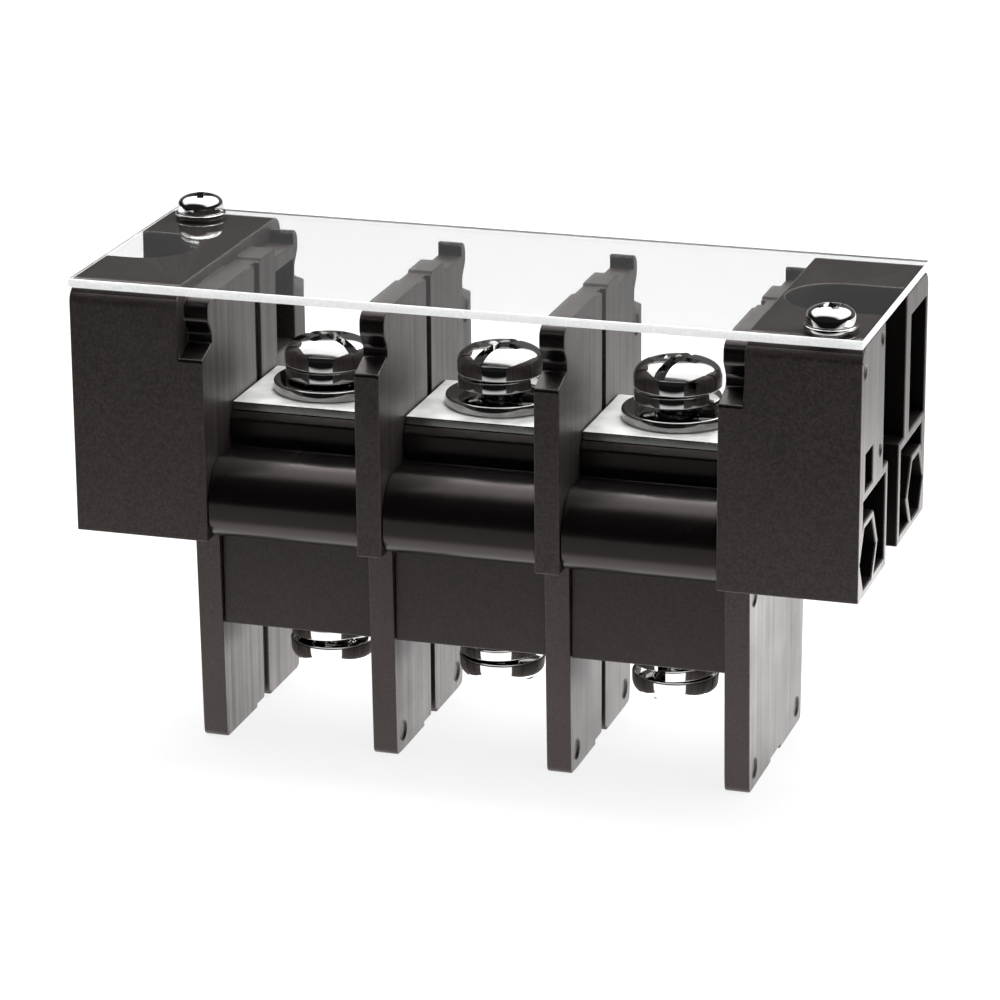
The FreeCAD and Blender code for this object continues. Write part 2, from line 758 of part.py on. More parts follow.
def cover_screw_sizes():
    return {
        "diameter": S["cover_screw_diameter"],
        "length": S["cover_screw_length"],
        "head": S["cover_head_diameter"],
        "height": S["cover_head_height"],
        "round": S["cover_head_round"],
        "cross_span": S["cover_cross_span"],
        "cross_width": S["cover_cross_width"],
        "cross_depth": S["cover_cross_depth"],
    }


def make_terminal(number, middle, upper):
    """Plain washer, spring washer, screw and nut on one side of a pole."""
    kind = "upper" if upper else "lower"
    side = 1 if upper else -1
    plate = plate_top if upper else plate_bottom
    angle = SLOT_TURNS[kind][number - 1]
    turned = ((0, 0, 1), angle)
    upside_down = ((math.cos(math.radians(angle)), math.sin(math.radians(angle)), 0), 180)
    flip = turned if upper else upside_down
    bore = S["screw_diameter"] / 2 + S["washer_clearance"]
    seat = panel_level + plate
    make_plain_washer(f"plain_washer_{kind}_{number}", bore, (middle, 0, seat), flip)
    seat = seat + S["plain_washer_thickness"] * side
    height = S["spring_washer_pressed"] if (kind, number) == TIGHT_SCREW else S["spring_washer_free"]
    make_spring_washer(f"spring_washer_{kind}_{number}", bore, height, (middle, 0, seat),
                       ((0, 0, 1), COIL_START) if upper else upside_down)
    seat = seat + height * side
    make_screw(f"terminal_screw_{kind}_{number}", terminal_screw_sizes(), (middle, 0, seat), flip)
    nut_level = S["body_top"] - S["clamp_nut_thickness"] if upper else -S["body_drop"]
    make_clamp_nut(f"clamp_nut_{kind}_{number}", middle, nut_level)


def make_cover():
    """Clear sheet over the whole strip, with a hole for each of its screws."""
    body = new_body("clear_cover")
    hole = S["cover_screw_diameter"] / 2 + S["hole_clearance"]
    holes = [(x, y, hole) for x, y in cover_screw_spots()]
    pad(body, "XY", 0, S["cover_thickness"],
        rectangle(-half_length, half_length, -half_depth, half_depth), *holes)
    place(body, 0, 0, cover_level)


def cover_screw_spots():
    """Screw axes at the back of the left block and at the front of the right block."""
    x = half_length - S["cover_screw_side"]
    y = half_depth - S["cover_screw_end"]
    return [(-x, y), (x, -y)]


def make_cover_fastener(side_name, spot):
    """Washer, screw and threaded insert at one end of the cover."""
    bore = S["cover_screw_diameter"] / 2
    top = cover_level + S["cover_thickness"]
    make_washer(f"cover_washer_{side_name}", S["cover_washer_diameter"], bore + S["washer_clearance"],
                S["cover_washer_thickness"], (*spot, top), None)
    make_screw(f"cover_screw_{side_name}", cover_screw_sizes(), (*spot, top + S["cover_washer_thickness"]),
               ((0, 0, 1), COVER_SCREW_TURNS[side_name]))
    insert_outside = S["insert_diameter"] - S["seat_clearance"] * 2
    make_washer(f"cover_insert_{side_name}", insert_outside, bore + S["thread_clearance"],
                S["insert_length"], (*spot, cover_level - S["insert_length"]), None)


def make_tie_bolt(side_name, side):
    """Bolt through the whole row, its head in the left block and its nut in the right one."""
    seat = half_length - S["tie_pocket_depth"]
    radius = S["tie_diameter"] / 2
    length = seat * 2 + S["tie_nut_thickness"] + S["tie_thread_end"]
    body = new_body(f"tie_bolt_{side_name}")
    pad(body, "YZ", 0, length, (0, 0, radius))
    pad(body, "YZ", -S["tie_head_thickness"], S["tie_head_thickness"], hexagon(0, 0, S["tie_head_width"]))
    place(body, -seat, tie_place * side, panel_level + S["tie_height"])
    nut = new_body(f"tie_nut_{side_name}")
    pad(nut, "YZ", 0, S["tie_nut_thickness"], hexagon(0, 0, S["tie_head_width"]),
        (0, 0, radius + S["thread_clearance"]))
    place(nut, seat, tie_place * side, panel_level + S["tie_height"])


def pole_places():
    return [S["pole_pitch"] * (number - (POLES - 1) / 2) for number in range(POLES)]


def build_strip():
    make_end_block("end_block_left", -1, S["channel_depth_left"])
    make_end_block("end_block_right", 1, S["channel_depth_right"])
    for number, middle in enumerate(pole_places(), 1):
        if number < POLES:
            make_partition(f"partition_{number}", middle + gap_width / 2)
        make_pole_body(f"pole_body_{number}", middle)
        make_conductor(f"conductor_{number}", middle)
        for upper in (True, False):
            make_terminal(number, middle, upper)
    make_cover()
    for side_name, spot in zip(("left", "right"), cover_screw_spots()):
        make_cover_fastener(side_name, spot)
    for side_name, side in (("front", -1), ("back", 1)):
        make_tie_bolt(side_name, side)


def check_document():
    """Stop before writing anything if an object failed or a cut removed nothing."""
    for item in doc.Objects:
        if "Invalid" in item.State or "Error" in item.State:
            raise RuntimeError(f"{item.Name}: {item.State}")
        if item.TypeId == "PartDesign::Pocket":
            before = item.BaseFeature.Shape.Volume
            if before - item.Shape.Volume < MIN_CUT_VOLUME:
                raise RuntimeError(f"{item.Name} removes nothing")
    for body in bodies():
        if body.Shape.isNull() or not body.Shape.isValid() or len(body.Shape.Solids) != 1:
            raise RuntimeError(f"{body.Label} is not one valid solid")


def bodies():
    return [item for item in doc.Objects if item.TypeId == "PartDesign::Body"]


build_strip()
doc.recompute()
check_document()
os.makedirs("parts", exist_ok=True)
for body in bodies():
    body.Shape.exportStep(f"parts/{body.Label}.step")
box = Part.makeCompound([body.Shape for body in bodies()]).BoundBox
print(f"{len(bodies())} sub-parts, {box.XLength:.2f} x {box.YLength:.2f} x {box.ZLength:.2f} mm")
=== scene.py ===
import json
import math

import bpy
import bmesh
import numpy as np
from mathutils import Matrix, Vector


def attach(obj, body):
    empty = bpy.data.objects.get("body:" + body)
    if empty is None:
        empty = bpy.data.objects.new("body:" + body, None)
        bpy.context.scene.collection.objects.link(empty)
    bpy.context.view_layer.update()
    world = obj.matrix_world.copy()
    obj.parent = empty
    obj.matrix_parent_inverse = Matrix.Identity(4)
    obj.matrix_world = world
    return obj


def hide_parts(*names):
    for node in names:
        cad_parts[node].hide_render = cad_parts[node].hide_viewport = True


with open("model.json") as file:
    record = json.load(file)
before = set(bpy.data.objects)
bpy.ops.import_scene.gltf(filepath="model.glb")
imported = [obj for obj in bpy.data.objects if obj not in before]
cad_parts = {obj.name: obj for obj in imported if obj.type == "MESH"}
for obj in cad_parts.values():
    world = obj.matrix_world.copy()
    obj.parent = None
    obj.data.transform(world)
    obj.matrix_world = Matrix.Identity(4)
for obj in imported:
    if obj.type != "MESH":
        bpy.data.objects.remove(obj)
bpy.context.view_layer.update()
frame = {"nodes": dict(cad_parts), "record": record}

print("frame loaded:", len(frame["nodes"]), "nodes")

mm = 0.001
pitch = 25.0 * mm  # from pole to pole
panel = 30.7 * mm  # height of the panel's face over the ground
poles = (1, 2, 3)
kinds = ("upper", "lower")
sideNames = ("left", "right")
facing = 0.9  # a face looks along an axis when its normal's share there is above this

scene = bpy.context.scene
scene.view_settings.view_transform = "Standard"


# node helpers
def newMaterial(name):
    material = bpy.data.materials.new(name)
    material.use_nodes = True
    nodes = material.node_tree.nodes
    return material, nodes, material.node_tree.links, nodes["Principled BSDF"]


def objectNoise(nodes, links, grain, detail=3.0, roughness=0.5, stretch=(1, 1, 1)):
    # noise on object coordinates; grain is the size of its features in metres
    place = nodes.new("ShaderNodeTexCoord")
    mapping = nodes.new("ShaderNodeMapping")
    mapping.inputs["Scale"].default_value = [s / grain for s in stretch]
    noise = nodes.new("ShaderNodeTexNoise")
    noise.inputs["Scale"].default_value = 1.0
    noise.inputs["Detail"].default_value = detail
    noise.inputs["Roughness"].default_value = roughness
    links.new(place.outputs["Object"], mapping.inputs["Vector"])
    links.new(mapping.outputs["Vector"], noise.inputs["Vector"])
    return noise.outputs["Fac"]


def remapped(nodes, links, socket, low, high, start=0.3, end=0.7):
    # the socket's range start..end stretched onto low..high
    spread = nodes.new("ShaderNodeMapRange")
    spread.inputs["From Min"].default_value = start
    spread.inputs["From Max"].default_value = end
    spread.inputs["To Min"].default_value = low
    spread.inputs["To Max"].default_value = high
    links.new(socket, spread.inputs["Value"])
    return spread.outputs["Result"]


def mixedColour(nodes, links, socket, dark, light):
    # dark up to 0.3 of the socket, light from 0.7 on
    ramp = nodes.new("ShaderNodeValToRGB")
    ramp.color_ramp.elements[0].position = 0.3
    ramp.color_ramp.elements[1].position = 0.7
    ramp.color_ramp.elements[0].color = (*dark, 1)
    ramp.color_ramp.elements[1].color = (*light, 1)
    links.new(socket, ramp.inputs["Fac"])
    return ramp.outputs["Color"]


def bumped(nodes, links, socket, depth):
    bump = nodes.new("ShaderNodeBump")
    bump.inputs["Strength"].default_value = 1.0
    bump.inputs["Distance"].default_value = depth
    links.new(socket, bump.inputs["Height"])
    return bump.outputs["Normal"]


# materials
grained = dict(
    name="grainedPlastic", dark=(0.012, 0.0096, 0.0087), light=(0.033, 0.0270, 0.0248),
    rough=(0.37, 0.46), grainDepth=0.009 * mm, shine=0.5, streaks=0.22,
)
# a darker copy of the grained plastic for the pole bodies, darker only to stand for the shade they sit in:
# painted shade
shadedBodyPlastic = dict(
    name="bodyPlasticPaintedShade", dark=(0.0070, 0.0054, 0.0049), light=(0.0195, 0.0154, 0.0140),
    rough=(0.37, 0.46), grainDepth=0.009 * mm, shine=0.4, streaks=0.22,
)
# satin: a smoother finish, which is real, with a nearly black base colour that is painted shade on the noses,
# uprights and hooks
satinWithShade = dict(
    name="satinPlasticPaintedShade", dark=(0.0020, 0.0017, 0.0016), light=(0.0035, 0.0030, 0.0028),
    rough=(0.22, 0.28), grainDepth=0.003 * mm, shine=0.5, streaks=0.0,
)
# nearly black plastic for the end blocks' channels and pockets: painted shade in the recesses
pocketShade = dict(
    name="pocketPaintedShade", dark=(0.0012, 0.0010, 0.0009), light=(0.0024, 0.0020, 0.0018),
    rough=(0.50, 0.60), grainDepth=0.003 * mm, shine=0.12, streaks=0.0,
)
plastic = dict(
    speckle=0.35 * mm, cloud=9 * mm, grain=0.16 * mm, streak=1.1 * mm, streakStretch=(1, 1, 0.02),
    tint=(1.0, 0.87, 0.83), ior=1.52,
)


def mouldedPlastic(finish):
    # dark plastic with a fine speckle; the faces marked as sideways carry upright streaks as well
    material, nodes, links, shader = newMaterial(finish["name"])
    speckle = objectNoise(nodes, links, plastic["speckle"], 2.0)
    colour = mixedColour(nodes, links, speckle, finish["dark"], finish["light"])
    links.new(colour, shader.inputs["Base Color"])
    cloud = objectNoise(nodes, links, plastic["cloud"], 4.0)
    links.new(remapped(nodes, links, cloud, *finish["rough"]), shader.inputs["Roughness"])
    grain = objectNoise(nodes, links, plastic["grain"], 2.0)
    links.new(bumped(nodes, links, grain, finish["grainDepth"]), shader.inputs["Normal"])
    streak = objectNoise(nodes, links, plastic["streak"], 3.0, 0.6, plastic["streakStretch"])
    faint, strong = finish["shine"] - finish["streaks"], finish["shine"] + finish["streaks"]
    level = remapped(nodes, links, streak, faint, strong, 0.35, 0.65)
    sideways = nodes.new("ShaderNodeAttribute")
    sideways.attribute_name = "sideways"
    shine = nodes.new("ShaderNodeMix")
    shine.inputs["A"].default_value = finish["shine"]
    links.new(sideways.outputs["Fac"], shine.inputs["Factor"])
    links.new(level, shine.inputs["B"])
    links.new(shine.outputs["Result"], shader.inputs["Specular IOR Level"])
    shader.inputs["Specular Tint"].default_value = (*plastic["tint"], 1)
    shader.inputs["IOR"].default_value = plastic["ior"]
    return material


plated = dict(
    dark=(0.58, 0.58, 0.565),
    light=(0.72, 0.72, 0.705),
    cloud=3 * mm,
    rough=(0.46, 0.56),
    grain=0.25 * mm,
    grainDepth=0.004 * mm,
)


def platedStrip():
    material, nodes, links, shader = newMaterial("platedStrip")
    cloud = objectNoise(nodes, links, plated["cloud"], 5.0)
    links.new(mixedColour(nodes, links, cloud, plated["dark"], plated["light"]), shader.inputs["Base Color"])
    links.new(remapped(nodes, links, cloud, *plated["rough"]), shader.inputs["Roughness"])
    grain = objectNoise(nodes, links, plated["grain"], 2.0)
    links.new(bumped(nodes, links, grain, plated["grainDepth"]), shader.inputs["Normal"])
    shader.inputs["Metallic"].default_value = 1.0
    return material


def brightMetal(name, colour, rough, grain, grainDepth):
    # plated metal: faint clouds eight grains wide in its colour and polish, under a fine grain
    material, nodes, links, shader = newMaterial(name)
    cloud = objectNoise(nodes, links, grain * 8, 4.0)
    dark = tuple(c * 0.93 for c in colour)
    links.new(mixedColour(nodes, links, cloud, dark, colour), shader.inputs["Base Color"])
    links.new(remapped(nodes, links, cloud, rough * 0.7, rough * 1.3), shader.inputs["Roughness"])
    fine = objectNoise(nodes, links, grain, 3.0)
    links.new(bumped(nodes, links, fine, grainDepth), shader.inputs["Normal"])
    shader.inputs["Metallic"].default_value = 1.0
    return material


nickel = dict(colour=(0.66, 0.657, 0.648), rough=0.06, grain=0.9 * mm, grainDepth=0.0006 * mm)
zinc = dict(colour=(0.62, 0.63, 0.64), rough=0.3, grain=0.5 * mm, grainDepth=0.002 * mm)
brass = dict(colour=(0.78, 0.60, 0.30), rough=0.22, grain=0.5 * mm, grainDepth=0.002 * mm)
# a darker, smoother copy of the strip metal for the strips' Y-facing faces: painted shade
stripEdgeShade = dict(colour=(0.30, 0.30, 0.29), rough=0.24, grain=0.3 * mm, grainDepth=0.002 * mm)
clear = dict(tint=(0.985, 0.99, 0.988), ior=1.49, rough=0.015, edgeRound=0.1 * mm)


def clearSheet():
    # clear plastic that lets lamp light through, so that it darkens nothing below it
    material, nodes, links, shader = newMaterial("clearSheet")
    shader.inputs["Base Color"].default_value = (*clear["tint"], 1)
    shader.inputs["IOR"].default_value = clear["ior"]
    shader.inputs["Roughness"].default_value = clear["rough"]
    shader.inputs["Transmission Weight"].default_value = 1.0
    path = nodes.new("ShaderNodeLightPath")
    through = nodes.new("ShaderNodeBsdfTransparent")
    mix = nodes.new("ShaderNodeMixShader")
    links.new(path.outputs["Is Shadow Ray"], mix.inputs[0])
    links.new(shader.outputs[0], mix.inputs[1])
    links.new(through.outputs[0], mix.inputs[2])
    links.new(mix.outputs[0], nodes["Material Output"].inputs["Surface"])
    return material


sheetEdge = dict(colour=(0.93, 0.94, 0.935), rough=0.22, speckle=0.5 * mm, glowWeight=0.5, glowReach=1.5 * mm)


def clearSheetEdge():
    # the sawn edge of the clear sheet gathers light and looks white
    material, nodes, links, shader = newMaterial("clearSheetEdge")
    speckle = objectNoise(nodes, links, sheetEdge["speckle"], 2.0)
    dark = tuple(c * 0.9 for c in sheetEdge["colour"])
    links.new(mixedColour(nodes, links, speckle, dark, sheetEdge["colour"]), shader.inputs["Base Color"])
    shader.inputs["Roughness"].default_value = sheetEdge["rough"]
    shader.inputs["Subsurface Weight"].default_value = sheetEdge["glowWeight"]
    shader.inputs["Subsurface Radius"].default_value = (sheetEdge["glowReach"],) * 3
    shader.inputs["Subsurface Scale"].default_value = 1.0
    return material


materials = {
    "housing": mouldedPlastic(grained),
    "plated_strip": platedStrip(),
    "bright_nickel": brightMetal("brightNickel", **nickel),
    "zinc_steel": brightMetal("zincSteel", **zinc),
    "insert_brass": brightMetal("turnedBrass", **brass),
    "clear_sheet": clearSheet(),
}
edgeMaterial = clearSheetEdge()
satinShadeMaterial = mouldedPlastic(satinWithShade)
shadedBodyMaterial = mouldedPlastic(shadedBodyPlastic)
pocketShadeMaterial = mouldedPlastic(pocketShade)
edgeShadeMaterial = brightMetal("stripEdgePaintedShade", **stripEdgeShade)
print("materials made")


# mesh helpers
def meshObject(name, points, faces):
    # a mesh object with its faces pointing outwards, by the sign of the volume
    mesh = bpy.data.meshes.new(name)
    mesh.from_pydata([tuple(p) for p in np.asarray(points, float)], [], faces)
    mesh.validate()
    shape = bmesh.new()
    shape.from_mesh(mesh)
    if shape.calc_volume(signed=True) < 0:
        bmesh.ops.reverse_faces(shape, faces=shape.faces)
    shape.to_mesh(mesh)
    shape.free()
    piece = bpy.data.objects.new(name, mesh)
    scene.collection.objects.link(piece)
    return piece


def baked(piece, name):
    # a new object holding the piece's mesh with its modifiers applied; the old one goes
    depsgraph = bpy.context.evaluated_depsgraph_get()
    mesh = bpy.data.meshes.new_from_object(piece.evaluated_get(depsgraph))
    bpy.data.objects.remove(piece)
    mesh.name = name
    result = bpy.data.objects.new(name, mesh)
    scene.collection.objects.link(result)
    return result


def shadeSmooth(piece):
    piece.data.polygons.foreach_set("use_smooth", np.ones(len(piece.data.polygons), bool))


def vertexArray(piece):
    values = np.zeros(len(piece.data.vertices) * 3)
    piece.data.vertices.foreach_get("co", values)
    return values.reshape(-1, 3)


def faceArray(piece, name):
    values = np.zeros(len(piece.data.polygons) * 3)
    piece.data.polygons.foreach_get(name, values)
    return values.reshape(-1, 3)


def placedCopy(piece, name, matrix):
    # the place goes into the mesh and the object stays at the origin
    mesh = piece.data.copy()
    mesh.transform(matrix)
    copy = bpy.data.objects.new(name, mesh)
    scene.collection.objects.link(copy)
    return copy


def softEdges(piece, name, width, segments=2, angle=28):
    # bevel sharp edges, then weight the normals by area so that flat faces stay flat
    shadeSmooth(piece)
    bevel = piece.modifiers.new("bevel", "BEVEL")
    bevel.width = width
    bevel.segments = segments
    bevel.limit_method = "ANGLE"
    bevel.angle_limit = math.radians(angle)
    bevel.use_clamp_overlap = False
    weight = piece.modifiers.new("weight", "WEIGHTED_NORMAL")
    weight.keep_sharp = False
    weight.weight = 100
    return baked(piece, name)


mergeWithin, flatWithin = 0.002 * mm, 0.6  # the angle in degrees


def mergedCopy(node):
    # the CAD node's faces as a new object, with doubles merged and flat faces joined
    source = frame["nodes"][node]
    faces = [tuple(f.vertices) for f in source.data.polygons]
    mesh = bpy.data.meshes.new(node)
    mesh.from_pydata([tuple(p) for p in vertexArray(source)], [], faces)
    shape = bmesh.new()
    shape.from_mesh(mesh)
    bmesh.ops.remove_doubles(shape, verts=shape.verts, dist=mergeWithin)
    flat = math.radians(flatWithin)
    bmesh.ops.dissolve_limit(shape, angle_limit=flat, verts=shape.verts, edges=shape.edges)
    shape.to_mesh(mesh)
    shape.free()
    piece = bpy.data.objects.new(node, mesh)
    scene.collection.objects.link(piece)
    return piece


def fitOut(piece, node, slot):
    # the piece stands in for the node: it takes the slot's material and joins the node's body
    piece.data.materials.clear()
    piece.data.materials.append(materials[slot])
    body = [name for name, members in frame["record"]["behaviour"]["bodies"].items() if node in members][0]
    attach(piece, body)
    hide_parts(node)


# mouldings: the CAD shapes with their mould-round edges; the bodies' noses and uprights and the
# barriers' hooks are satin, whose nearly black base colour is painted shade; the pole bodies'
# darker plastic and the end blocks' nearly black channels and pockets are painted shade too
moulding = dict(
    edgeRound=0.22 * mm, satinShadeZ=(30.0 * mm, 47.0 * mm), satinShadeFrom=9.0 * mm,
    barrierHalf=1.78 * mm, hookFrom=14.0 * mm, hookZ=(55.4 * mm, 64.3 * mm),
    pocketX=(39.6 * mm, 54.5 * mm), pocketY=20.0 * mm, pocketZ=(31.2 * mm, 64.9 * mm),
)


def within(values, low, high):
    return (values > low) & (values < high)


def makeMouldings():
    names = [f"end_block_{side}" for side in sideNames]
    names += ["partition_1", "partition_2"] + [f"pole_body_{pole}" for pole in poles]
    for node in names:
        if node == "partition_2":
            # the second partition is the first one, a pole further on
            first = bpy.data.objects["partition_1_moulding"]
            piece = placedCopy(first, f"{node}_moulding", Matrix.Translation((pitch, 0, 0)))
        else:
            piece = softEdges(mergedCopy(node), f"{node}_moulding", moulding["edgeRound"])
        fitOut(piece, node, "housing")
        sideways = np.abs(faceArray(piece, "normal")[:, 0]) > facing
        marks = piece.data.attributes
        mark = marks.get("sideways") or marks.new("sideways", "FLOAT", "FACE")
        mark.data.foreach_set("value", sideways.astype(np.float32))
        aside, depth, height = np.abs(faceArray(piece, "center")).T
        piece.data.materials.append(satinShadeMaterial)
        piece.data.materials.append(pocketShadeMaterial)
        if node.startswith("pole_body"):
            # the pole bodies take the darker plastic: painted shade
            piece.data.materials[0] = shadedBodyMaterial
            # the noses and the uprights under the strips get the satin, whose nearly black base is painted
            # shade
            satinShaded = (depth > moulding["satinShadeFrom"]) & within(height, *moulding["satinShadeZ"])
            shadedPocket = np.zeros(len(aside), bool)
        else:
            fromBarrier = (aside - pitch / 2) % pitch
            onBarrier = np.minimum(fromBarrier, pitch - fromBarrier) < moulding["barrierHalf"]
            # the barriers' hooks get the same satin with its painted shade
            satinShaded = ~sideways & onBarrier & (depth > moulding["hookFrom"])
            satinShaded &= within(height, *moulding["hookZ"])
            # the end blocks' channels and pockets get the nearly black plastic: painted shade
            shadedPocket = within(aside, *moulding["pocketX"]) & (depth < moulding["pocketY"])
            shadedPocket &= within(height, *moulding["pocketZ"])
        # the piece's own plastic is slot 0, the satin with its painted shade 1 and the pockets' painted shade
        # 2
        piece.data.polygons.foreach_set("material_index", (satinShaded + 2 * shadedPocket).astype(np.int32))
    print("mouldings made:", len(names))


strip = dict(edgeRound=0.12 * mm)


def makeStrips():
    # the bent strips, with the faces that look along Y in a darker, smoother copy of the strip metal: painted
    # shade
    for pole in poles:
        node = f"conductor_{pole}"
        piece = softEdges(mergedCopy(node), f"{node}_strip", strip["edgeRound"])
        fitOut(piece, node, "plated_strip")
        piece.data.materials.append(edgeShadeMaterial)
        # the faces that look along Y take the darker metal: painted shade
        shadedEdgeFace = np.abs(faceArray(piece, "normal")[:, 1]) > facing
        piece.data.polygons.foreach_set("material_index", shadedEdgeFace.astype(np.int32))
    print("strips made")


def makeCover():
    # the clear sheet, its side faces in the edge material
    piece = softEdges(mergedCopy("clear_cover"), "clear_cover_sheet", clear["edgeRound"], segments=1)
    fitOut(piece, "clear_cover", "clear_sheet")
    piece.data.materials.append(edgeMaterial)
    upright = np.abs(faceArray(piece, "normal")[:, 2]) < facing
    piece.data.polygons.foreach_set("material_index", upright.astype(np.int32))
    print("cover made")


makeMouldings()
makeStrips()
makeCover()


def loftMesh(name, loops, joined=False):
    # a closed surface through loops of points, given as an array of loops by points by 3
    count, around = loops.shape[:2]
    loop = np.arange(count if joined else count - 1)[:, None]
    step = np.arange(around)[None, :]
    nextLoop, nextStep = (loop + 1) % count, (step + 1) % around
    here, there = loop * around, nextLoop * around
    corners = [here + step, here + nextStep, there + nextStep, there + step]
    faces = np.stack(corners, axis=-1).reshape(-1, 4).tolist()
    if not joined:
        ends = np.arange(count * around).reshape(count, around)
        faces += [ends[0, ::-1].tolist(), ends[-1].tolist()]
    return meshObject(name, loops.reshape(-1, 3), faces)


def turnedLoops(radius, height):
    # rings about Z; radius and height are arrays of rings by steps round the axis
    turn = np.arange(radius.shape[1]) * (2 * math.pi / radius.shape[1])
    return np.stack([radius * np.cos(turn), radius * np.sin(turn), height], axis=-1)


def cutAway(piece, cutter):
    # the piece with the cutter's volume taken out; the cutter goes
    cut = piece.modifiers.new("cut", "BOOLEAN")
    cut.operation = "DIFFERENCE"
    cut.solver = "EXACT"
    cut.object = cutter
    result = baked(piece, piece.name)
    bpy.data.objects.remove(cutter)
    return result


def creaseSmooth(piece, angle=32):
    # smooth all over but for creases sharper than the angle
    shadeSmooth(piece)
    piece.data.set_sharp_from_angle(angle=math.radians(angle))


# screws: a thread cut as a spiral groove, a domed head, then the slot and the cross recess
screwSteps, ringsPerTurn, footSteps, domeSteps = 96, 10, 7, 40
domeShare = 0.992  # of the quarter turn from the rim to the axis
terminalScrew = dict(
    radius=3.0 * mm, root=2.42 * mm, pitch=1.0 * mm, length=16.0 * mm, point=0.6 * mm, neck=0.5 * mm,
    head=6.1 * mm, headHeight=3.8 * mm, domeFrom=1.0 * mm, foot=0.3 * mm, dome=2.7,
    slot=(1.6 * mm, 1.4 * mm),
    crossTop=(6.4 * mm, 1.7 * mm), crossFoot=(3.4 * mm, 1.1 * mm), crossDepth=2.4 * mm,
)
coverScrew = dict(
    radius=2.0 * mm, root=1.6 * mm, pitch=0.7 * mm, length=8.0 * mm, point=0.6 * mm, neck=0.4 * mm,
    head=3.3 * mm, headHeight=2.5 * mm, domeFrom=0.7 * mm, foot=0.2 * mm, dome=2.5,
    slot=None,
    crossTop=(4.1 * mm, 1.05 * mm), crossFoot=(2.0 * mm, 0.7 * mm), crossDepth=1.5 * mm,
)
flankSteep, crestShare = 2.6, 0.15


def threadRings(s):
    # the flank falls and rises linearly with the phase, which is height over pitch less the turn, and is
    # held at crest and root; a cone at the tip and a ramp at the neck limit the radius
    height = np.linspace(-s["length"], -s["neck"], int(s["length"] / s["pitch"] * ringsPerTurn))[:, None]
    turn = np.arange(screwSteps)[None, :] / screwSteps
    phase = (height / s["pitch"] - turn) % 1.0
    flank = np.clip(np.abs(phase - 0.5) * flankSteep - crestShare, 0, 1)
    radius = s["radius"] - (s["radius"] - s["root"]) * flank
    fromTip = height + s["length"]
    tipLimit = s["radius"] - s["point"] + fromTip
    fromNeck = np.clip((-height - s["neck"]) / s["pitch"], 0, 1)
    neckLimit = s["root"] + (s["radius"] - s["root"]) * fromNeck
    radius = np.minimum(radius, np.minimum(tipLimit, neckLimit))
    return radius, np.broadcast_to(height, radius.shape)


def headRings(s):
    # seat, rounded foot, then a dome whose section is a superellipse of the given power; it stops
    # just short of the axis, so that its last ring closes as a small flat
    foot, head = s["foot"], s["head"]
    swing = np.linspace(-math.pi / 2, 0, footSteps)
    footR = head - foot + foot * np.cos(swing)
    footZ = foot + foot * np.sin(swing)
    rise = np.linspace(0, math.pi / 2 * domeShare, domeSteps)
    domeR = head * np.cos(rise) ** (2 / s["dome"])
    domeZ = s["domeFrom"] + (s["headHeight"] - s["domeFrom"]) * np.sin(rise) ** (2 / s["dome"])
    radius = np.concatenate([[s["root"]], footR, domeR])
    height = np.concatenate([[0], footZ, domeZ])
    wide = np.ones((1, screwSteps))
    return radius[:, None] * wide, height[:, None] * wide


def crossLoop(span, width, height):
    # the outline of a plus sign at a height: its span from end to end, and its arms' width
    a, b = span / 2, width / 2
    plan = [(b, b), (b, a), (-b, a), (-b, b), (-a, b), (-a, -b),
            (-b, -b), (-b, -a), (b, -a), (b, -b), (a, -b), (a, b)]
    return [(x, y, height) for x, y in plan]


def makeScrewShape(name, s):
    # tip, thread and head turned as one surface; the cutters reach over the head
    threadR, threadZ = threadRings(s)
    headR, headZ = headRings(s)
    tip, over, top = 0.1 * mm, 0.2 * mm, s["headHeight"]
    radius = np.vstack([np.full((1, screwSteps), tip), threadR, headR])
    height = np.vstack([np.full((1, screwSteps), -s["length"]), threadZ, headZ])
    screw = loftMesh(name, turnedLoops(radius, height))
    loops = [crossLoop(*s["crossFoot"], top - s["crossDepth"]), crossLoop(*s["crossTop"], top + over)]
    screw = cutAway(screw, loftMesh("crossCutter", np.array(loops)))
    if s["slot"]:
        width, depth = s["slot"]
        reach = s["head"] + over
        plan = [(-reach, -width / 2), (reach, -width / 2), (reach, width / 2), (-reach, width / 2)]
        loops = [[(x, y, z) for x, y in plan] for z in (top - depth, top + over)]
        screw = cutAway(screw, loftMesh("slotCutter", np.array(loops)))
    creaseSmooth(screw)
    return screw


# washers: a plain ring with rounded edges, and a strip coiled through nearly one turn
plainWasher = dict(bore=3.1 * mm, outside=7.7 * mm, thickness=1.5 * mm, edge=0.3 * mm)
springWasher = dict(bore=3.1 * mm, outside=6.0 * mm, thickness=1.6 * mm, edge=0.25 * mm, turns=0.97)
springHeight, pressedHeight, springStart = 3.0 * mm, 2.2 * mm, -20
coverWasher = dict(bore=2.1 * mm, outside=3.6 * mm, thickness=0.7 * mm, edge=0.15 * mm)
cornerSteps, ringSteps = 6, 120


def ringSection(s):
    # a rectangle with rounded corners, as radius and height round its outline
    edge = s["edge"]
    swing = np.linspace(0, math.pi / 2, cornerSteps)
    centres = [(s["outside"] - edge, s["thickness"] - edge), (s["bore"] + edge, s["thickness"] - edge),
               (s["bore"] + edge, edge), (s["outside"] - edge, edge)]
    parts = [(r + edge * np.cos(swing + k * math.pi / 2), z + edge * np.sin(swing + k * math.pi / 2))
             for k, (r, z) in enumerate(centres)]
    return np.concatenate([p[0] for p in parts]), np.concatenate([p[1] for p in parts])


